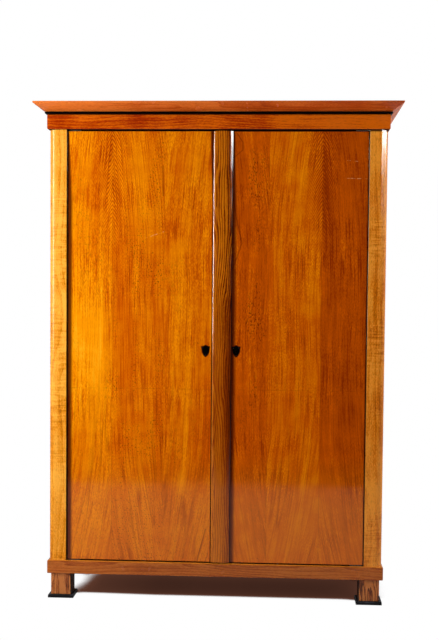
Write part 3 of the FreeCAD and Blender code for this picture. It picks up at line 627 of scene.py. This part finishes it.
def rub_arrises(piece):
    """Marks the bevelled faces, which were given the second slot, as rubbed arrises and smooths the piece."""
    rubbed = piece.data.attributes.new("arris", "FLOAT", "FACE")
    rubbed.data.foreach_set("value", [float(face.material_index) for face in piece.data.polygons])
    piece.data.polygons.foreach_set("material_index", [0] * len(piece.data.polygons))
    piece.data.materials.pop(index=1)
    bpy.ops.object.select_all(action="DESELECT")
    piece.select_set(True)
    bpy.context.view_layer.objects.active = piece
    bpy.ops.object.shade_smooth_by_angle(angle=sharp_angle)
    weighted = piece.modifiers.new("flat_faces", "WEIGHTED_NORMAL")
    weighted.keep_sharp = True
    bpy.ops.object.modifier_apply(modifier=weighted.name)


def stand_for(piece, node):
    """The piece takes the node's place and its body."""
    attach(piece, rides_on[node])
    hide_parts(node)


def two_slots(piece, node):
    """Gives a piece its finish twice: bevelled faces take the second slot until rub_arrises marks them."""
    piece.data.materials.clear()
    for slot in range(2):
        piece.data.materials.append(finish_of(node))


def moved_copy(shift, turn=0.0, centre=(0.0, 0.0, 0.0)):
    """A copy of the active piece, moved in its own mesh, then turned about an axis along Y."""
    bpy.ops.object.duplicate()
    bpy.ops.object.mode_set(mode="EDIT")
    bpy.ops.mesh.select_all(action="SELECT")
    bpy.ops.transform.translate(value=shift)
    if turn:
        bpy.ops.transform.rotate(value=turn, orient_axis="Y", center_override=centre)
    bpy.ops.object.mode_set(mode="OBJECT")
    return bpy.context.object


def new_block(name, low, high, node):
    """A squared block of a node's wood from corner to corner, still to be shaped."""
    bpy.ops.mesh.primitive_cube_add(size=1.0)
    piece = bpy.context.object
    piece.name = piece.data.name = name
    piece.scale = high - low
    piece.location = (low + high) / 2
    bpy.ops.object.transform_apply()
    two_slots(piece, node)
    return piece


def pick(piece, kind, wanted):
    """Selects the edges or faces of a piece in edit mode that pass a test, and no others."""
    bpy.ops.mesh.select_all(action="DESELECT")
    bpy.ops.mesh.select_mode(type=kind)
    shape = bmesh.from_edit_mesh(piece.data)
    for element in shape.edges if kind == "EDGE" else shape.faces:
        element.select_set(wanted(element))
    bmesh.update_edit_mesh(piece.data)


def bevel_uprights(piece, places, ease, segments, rubbed):
    """Rounds the upright edges that stand at the given X and Y."""
    def at_place(edge):
        foot, head = (corner.co for corner in edge.verts)
        near = any(math.hypot(foot.x - x, foot.y - y) < touching for x, y in places)
        return near and abs(foot.z - head.z) > upright_length

    bpy.ops.object.mode_set(mode="EDIT")
    pick(piece, "EDGE", at_place)
    bpy.ops.mesh.bevel(offset=ease, segments=segments, material=1 if rubbed else -1)
    bpy.ops.object.mode_set(mode="OBJECT")


def rounded_post(node, corner, arris):
    """A front post: its outer corner is rounded like a quarter of a column, its inner arris just eased."""
    low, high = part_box(node)
    inner, outer = sorted((low.x, high.x), key=abs)
    piece = new_block(node + "_rounded", low, high, node)
    bevel_uprights(piece, [(outer, low.y)], corner, segments=14, rubbed=False)
    bevel_uprights(piece, [(inner, low.y), (outer, high.y)], arris, segments=3, rubbed=True)
    rub_arrises(piece)
    stand_for(piece, node)


def eased(node, arris_mm, seams=()):
    """Stands for a node: the same piece with its sharp arrises eased, and joints at the given X closed."""
    def on_seam(face):
        middle = face.calc_center_median()
        return any(abs(middle.x - seam) < touching and abs(face.normal.x) > 0.9 for seam in seams)

    def mitred(face):
        x, y, z = (abs(share) for share in face.normal)
        return abs(x - y) < 0.01 and z < 0.1 and x > 0.6 and face.calc_area() > 0.00001

    def sharp(edge):
        if len(edge.link_faces) != 2 or edge.calc_face_angle_signed() < sharp_angle:
            return False
        return not any(mitred(face) for face in edge.link_faces)

    bpy.ops.object.select_all(action="DESELECT")
    source = frame["nodes"][node]
    source.select_set(True)
    bpy.context.view_layer.objects.active = source
    bpy.ops.object.duplicate()
    piece = bpy.context.object
    piece.name = piece.data.name = node + "_eased"
    del piece["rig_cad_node"]
    bpy.ops.mesh.customdata_custom_splitnormals_clear()
    two_slots(piece, node)
    bpy.ops.object.mode_set(mode="EDIT")
    bpy.ops.mesh.select_all(action="SELECT")
    bpy.ops.mesh.remove_doubles(threshold=weld)
    pick(piece, "FACE", on_seam)
    if seams:
        bpy.ops.mesh.delete(type="FACE")
    bpy.ops.mesh.select_all(action="SELECT")
    bpy.ops.mesh.dissolve_limited(angle_limit=math.radians(1))
    pick(piece, "EDGE", sharp)
    bpy.ops.mesh.bevel(offset=arris_mm / 1000, segments=3, clamp_overlap=True, material=1)
    bpy.ops.mesh.select_all(action="SELECT")
    bpy.ops.mesh.dissolve_degenerate(threshold=weld)
    bpy.ops.object.mode_set(mode="OBJECT")
    rub_arrises(piece)
    stand_for(piece, node)


for node, part in frame["nodes"].items():
    part.data.materials.clear()
    part.data.materials.append(finish_of(node))

for side in ("left", "right"):
    sign = -1 if side == "left" else 1
    eased(side + "_door_veneer", 1.0, (sign * outer_seam, sign * inner_seam))
    eased(side + "_escutcheon", 0.4)
    rounded_post(side + "_front_post", corner=0.030, arris=0.002)
    eased(side + "_rear_post", 1.2)
    for row in ("front", "rear"):
        eased(f"{side}_{row}_foot", 1.2)
        eased(f"{side}_{row}_plinth", 0.8)
    for run in ("base_rail", "frieze", "bead", "cornice", "side_rails"):
        eased(f"{side}_{run}", 0.8)
    for part in ("hinge_stile", "meeting_stile", "rails", "panels"):
        eased(f"{side}_door_{part}", 0.6)
    eased(side + "_door_pivot_plates", 0.4)
for node in ("base_rail_front", "bead_front", "cornice_front"):
    eased(node, 0.8)
eased("frieze_front", 1.8)


def rounded_strip(node, shoulder):
    """The cover strip: an oval crown that falls away to both edges, on straight sides as high as the shoulder.

    Its section is half an oval with a foot, drawn up to its length; the edge towards the light is eased more.
    """
    low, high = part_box(node)
    half, crown = (high.x - low.x) / 2, high.y - low.y
    oval = 1.09 * half
    bpy.ops.mesh.primitive_circle_add(vertices=128, radius=1.0, fill_type="NGON")
    piece = bpy.context.object
    piece.name = piece.data.name = node + "_rounded"
    piece.scale = (oval, crown, 1.0)
    piece.location = ((low.x + high.x) / 2, high.y, low.z)
    bpy.ops.object.transform_apply()
    bpy.ops.object.mode_set(mode="EDIT")
    for cut, facing in (((high.x, 0, 0), (1, 0, 0)), ((low.x, 0, 0), (-1, 0, 0)), ((0, high.y, 0), (0, 1, 0))):
        bpy.ops.mesh.select_all(action="SELECT")
        bpy.ops.mesh.bisect(plane_co=cut, plane_no=facing, clear_outer=True)
    bpy.ops.mesh.select_all(action="SELECT")
    bpy.ops.mesh.extrude_region_move(TRANSFORM_OT_translate={"value": (0, 0, high.z - low.z)})
    bpy.ops.mesh.select_all(action="SELECT")
    bpy.ops.mesh.normals_make_consistent()
    for edge_x, ease in ((low.x, shoulder), (high.x, shoulder / 4)):
        def on_edge(edge):
            foot, head = (corner.co for corner in edge.verts)
            upright = abs(foot.z - head.z) > upright_length
            return upright and abs(foot.x - edge_x) < weld and foot.y < high.y - 0.001

        pick(piece, "EDGE", on_edge)
        bpy.ops.mesh.bevel(offset=ease, segments=4, clamp_overlap=True)
    bpy.ops.mesh.select_all(action="SELECT")
    bpy.ops.mesh.dissolve_degenerate(threshold=weld)
    bpy.ops.object.mode_set(mode="OBJECT")
    piece.data.materials.append(finish_of(node))
    bpy.ops.object.shade_smooth_by_angle(angle=sharp_angle)
    stand_for(piece, node)


rounded_strip("cover_strip", shoulder=0.0016)
for node in ("shelf_1", "shelf_2", "shelf_3", "bottom_board", "top_board", "door_stop_rail", "frieze_back",
             "base_rail_back", "shelf_battens", "cornice_glue_blocks"):
    eased(node, 1.0)
for node in ("lock_case", "left_door_bolt_guides", "lock_bolt", "top_bolt", "bottom_bolt", "carcass_pivots"):
    eased(node, 0.5)


def boarded_back(node, arris):
    """The back: upright boards side by side, their long arrises eased so that a V shows where they meet."""
    low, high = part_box(node)
    high = Vector((low.x + back_board, back_face, high.z))
    board = new_block("back_board_1", low, high, node)
    bevel_uprights(board, [(x, y) for x in (low.x, high.x) for y in (low.y, high.y)], arris, segments=2, rubbed=True)
    boards = [board]
    for number in range(2, back_board_count + 1):
        board = moved_copy((back_board, 0.0, 0.0))
        board.name = board.data.name = f"back_board_{number}"
        boards.append(board)
    for board in boards:
        rub_arrises(board)
        stand_for(board, node)


def driven_heads(name, body, spots, facing, radius, rise, slot=0.0):
    """Heads of nails, pins or screws in a face that looks to the front (-1) or to the back (1).

    One is modelled as a low dome with a flat top, half of its rim sunk in the wood, and copied to each spot.
    A screw has a slot of the given width in its top, each turned further than the last.
    """
    bpy.ops.mesh.primitive_cylinder_add(vertices=12, radius=radius, depth=rise, location=spots[0],
                                        rotation=(-facing * math.pi / 2, 0.0, 0.0))
    head = bpy.context.object
    bpy.ops.object.transform_apply()
    head.data.materials.append(finishes["iron"])
    bpy.ops.object.mode_set(mode="EDIT")

    def select_top(half_width):
        pick(head, "FACE", lambda face: face.normal.y * facing > 0.95
             and abs(face.calc_center_median().x - spots[0][0]) < half_width)

    select_top(radius)
    bpy.ops.mesh.inset(thickness=radius * 0.3, depth=rise / 2)
    if slot:
        for side in (-1, 1):
            bpy.ops.mesh.select_all(action="SELECT")
            bpy.ops.mesh.bisect(plane_co=(spots[0][0] + side * slot / 2, 0.0, 0.0), plane_no=(1.0, 0.0, 0.0))
        select_top(slot / 2)
        bpy.ops.mesh.extrude_region_move(TRANSFORM_OT_translate={"value": (0.0, -facing * rise * 0.6, 0.0)})
    bpy.ops.object.mode_set(mode="OBJECT")
    bpy.ops.object.shade_smooth_by_angle(angle=sharp_angle)
    heads = [head]
    for last, spot in zip(spots, spots[1:]):
        heads.append(moved_copy(Vector(spot) - Vector(last), 0.9 if slot else 0.0, spot))
    for copy in heads:
        copy.select_set(True)
    bpy.ops.object.join()
    head = bpy.context.object
    head.name = head.data.name = name
    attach(head, body)


boarded_back("back_boards", arris=0.0016)

# Fasteners: radius and rise of each head, and the width of a screw's slot
nail, plate_pin = (0.0042, nail_rise), (0.0012, 0.0005)
lock_screw, guide_screw, keeper_screw = (0.0038, 0.0012, 0.0009), (0.0030, 0.0010, 0.0008), (0.0028, 0.0010, 0.0008)
back_low, back_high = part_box("back_boards")
for number, board in enumerate(("bottom_board", "shelf_1", "shelf_2", "shelf_3"), 1):
    nail_z = (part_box(board)[0].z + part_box(board)[1].z) / 2
    driven_heads(f"back_nails_row_{number}", "carcass",
                 [(back_low.x + back_board * (place + share), back_face, nail_z)
                  for place in range(back_board_count) for share in (0.2, 0.8)], 1, *nail)
first_nail, nail_step, edge_nails = 0.31, 0.2175, 8
for side in ("left", "right"):
    nail_x = (post_inner + back_high.x) / 2 * (-1 if side == "left" else 1)
    driven_heads(side + "_edge_nails", "carcass",
                 [(nail_x, back_face, first_nail + nail_step * place) for place in range(edge_nails)], 1, *nail)

lock_low, lock_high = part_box("lock_case")
screw_inset = 0.012
driven_heads("lock_screws", "right_door",
             [(x, lock_high.y, z) for x in (lock_low.x + screw_inset, lock_high.x - screw_inset)
              for z in (lock_low.z + screw_inset, lock_high.z - screw_inset)], 1, *lock_screw)
guide_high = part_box("left_door_bolt_guides")[1]
guide_rise, guide_inset, guide_ear = 0.015, 0.030, 0.0088
guide_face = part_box("left_door_meeting_stile")[1].y + guide_rise
bolt_line = (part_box("top_bolt")[0].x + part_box("top_bolt")[1].x) / 2
driven_heads("guide_screws", "left_door",
             [(bolt_line + side * guide_ear, guide_face, z) for bolt in ("bottom_bolt", "top_bolt")
              for z in (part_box(bolt)[0].z + guide_inset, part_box(bolt)[1].z - guide_inset) for side in (-1, 1)],
             1, *guide_screw)
keeper_inset, keeper_ear = 0.011, 0.018
driven_heads("keeper_screws", "left_door",
             [(guide_high.x - keeper_inset, guide_high.y, (lock_low.z + lock_high.z) / 2 + side * keeper_ear)
              for side in (-1, 1)], 1, *keeper_screw)
pin_spots = ((-0.0105, 0.0125), (0.0105, 0.0125), (0.0, -0.0165))
for side in ("left", "right"):
    plate_low, plate_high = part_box(side + "_escutcheon")
    plate = (plate_low + plate_high) / 2
    driven_heads(side + "_escutcheon_pins", side + "_door",
                 [(plate.x + x, plate_low.y, plate.z + z) for x, z in pin_spots], -1, *plate_pin)


# The studio: a pale floor, a dark card in front of it that only mirrors see, and seven lamps; some of them light
# the wood and don't show in its polish, the others show in the polish alone
def stage_sheet(name, corners):
    """A flat sheet of the studio between four corners."""
    bpy.ops.mesh.primitive_plane_add(size=1.0)
    sheet = bpy.context.object
    sheet.name = name
    for vertex, corner in zip(sheet.data.vertices, corners):
        vertex.co = corner
    return sheet


def studio_rays(add):
    """The kinds of ray, and a mask of those that look straight at the studio or see it in a mirror."""
    ray = add("LightPath", out=None).outputs
    seen = ray["Is Camera Ray"]
    for kind in ("Is Glossy Ray", "Is Transmission Ray"):
        seen = add("Math", {0: seen, 1: ray[kind]}, operation="MAXIMUM")
    return ray, seen


floor_front = -3.0
mirrored_level = 0.33
floor = stage_sheet("floor", ((-7, floor_front, 0), (7, floor_front, 0), (-7, 7, 0), (7, 7, 0)))
paper, add = new_finish("white_paper")
ray, seen = studio_rays(add)

# The floor's shade is painted: its emitted colour follows how much sky a spot sees, and is painted paler on the left
# and in front of the case
open_sky = add("AmbientOcclusion", {"Distance": 0.5}, out="AO", samples=48)
place = add("TexCoord", out="Object")
sides = add("SeparateXYZ", {0: place}, out=None).outputs
paler_left = add("MapRange", {0: sides["X"], 1: -0.25, 2: -0.62, 4: 0.16})
open_sky = add("Math", {0: open_sky, 1: paler_left})
glow = add("MapRange", {0: sides["X"], 1: -0.50, 2: -0.68, 4: 0.4})
to_rear = add("MapRange", {0: sides["Y"], 1: -0.17, 2: 0.05})
glow = add("Math", {0: glow, 1: to_rear}, operation="MULTIPLY")
to_front = add("MapRange", {0: sides["Y"], 1: -0.11, 2: -0.18, 4: 0.5})
glow = add("Math", {0: glow, 1: to_front}, operation="MAXIMUM")
open_sky = add("Math", {0: open_sky, 1: glow})
shade = add("ValToRGB", {0: open_sky}, stops=[(0.05, "#3A221A"), (0.56, "#FFFFFF"), (0.38, "#5E3A2C")])
level = add("MapRange", {0: ray["Is Glossy Ray"], 1: 0.0, 2: 1.0, 3: 1.0, 4: mirrored_level})
shown = add("Emission", {"Color": shade, "Strength": level})
matt = add("BsdfDiffuse", {"Color": linear("#D8C0AC")})
mixed = add("MixShader", {0: seen, 1: matt, 2: shown})
add("OutputMaterial", {"Surface": mixed}, out=None)
floor.data.materials.append(paper)

card = stage_sheet("dark_card", ((-7, floor_front, 0), (7, floor_front, 0),
                                 (-7, floor_front, 6), (7, floor_front, 6)))
felt, add = new_finish("black_felt")
dark = add("BsdfDiffuse", {"Color": linear("#050505")})
add("OutputMaterial", {"Surface": dark}, out=None)
card.data.materials.append(felt)
card.visible_camera = card.visible_diffuse = card.visible_shadow = False
card.visible_transmission = card.visible_volume_scatter = False

bpy.context.scene.world, add = new_finish("studio", bpy.data.worlds)
ray, seen = studio_rays(add)
level = add("MapRange", {0: seen, 1: 0.0, 2: 1.0, 3: 0.10, 4: 1.0})
level = add("Mix", {0: ray["Is Glossy Ray"], 2: level, 3: mirrored_level})
air = add("Background", {"Color": (1.0, 1.0, 1.0, 1.0), "Strength": level})
add("OutputWorld", {"Surface": air}, out=None)

for name, spot, target, width, height, watts, lights, mirrored in (
        ("key_left", (-1.60, -1.50, 1.55), (0.0, -0.2, 1.3), 0.3, 2.0, 41.0, True, False),
        ("gloss_left", (-2.35, -1.10, 1.72), (0.0, -0.2, 1.3), 0.3, 1.5, 94.0, False, True),
        ("strip_right", (2.1, -1.2, 2.06), (0.4, -0.2, 1.6), 2.0, 0.25, 18.0, True, False),
        ("edge_right", (1.56, -2.22, 2.31), (0.05, -0.2, 1.88), 0.3, 0.14, 2.8, False, True),
        ("post_edge", (2.60, -1.15, 2.24), (0.67, -0.2, 1.88), 3.4, 0.24, 76.0, False, True),
        ("side_fill", (2.8, 1.2, 2.2), (0.6, 0.0, 1.0), 1.6, 1.6, 60.0, True, False),
        ("rear_fill", (-0.6, 2.4, 3.0), (0.0, 0.3, 1.0), 1.6, 1.6, 70.0, True, False)):
    bpy.ops.object.light_add(type="AREA", location=spot)
    lamp = bpy.context.object
    lamp.name = name
    lamp.data.shape = "RECTANGLE"
    lamp.data.size = width
    lamp.data.size_y = height
    lamp.data.energy = watts
    lamp.visible_diffuse = lights
    lamp.visible_glossy = mirrored
    lamp.rotation_euler = (Vector(target) - Vector(spot)).to_track_quat("-Z", "Y").to_euler()

# The camera stands a little right of the middle, at chest height, and looks slightly down
yaw, pitch, roll = math.radians(3.235), math.radians(2.811), math.radians(-0.5)
right = Vector((math.cos(yaw), math.sin(yaw), 0))
ahead = Vector((-math.sin(yaw) * math.cos(pitch), math.cos(yaw) * math.cos(pitch), -math.sin(pitch)))
down = ahead.cross(right)
across = right * math.cos(roll) + down * math.sin(roll)
low = down * math.cos(roll) - right * math.sin(roll)
stand = Matrix((across, -low, -ahead)).transposed().to_4x4()
stand.translation = (0.2626, -4.718, 1.2343)
lens = bpy.data.cameras.new("studio_camera")
lens.sensor_width = 36.0
lens.lens = 63.28
lens.shift_x = 0.0028
lens.shift_y = 0.0494
camera = bpy.data.objects.new("studio_camera", lens)
camera.matrix_world = stand
bpy.context.scene.collection.objects.link(camera)
bpy.context.scene.camera = camera
bpy.context.scene.view_settings.view_transform = "Standard"
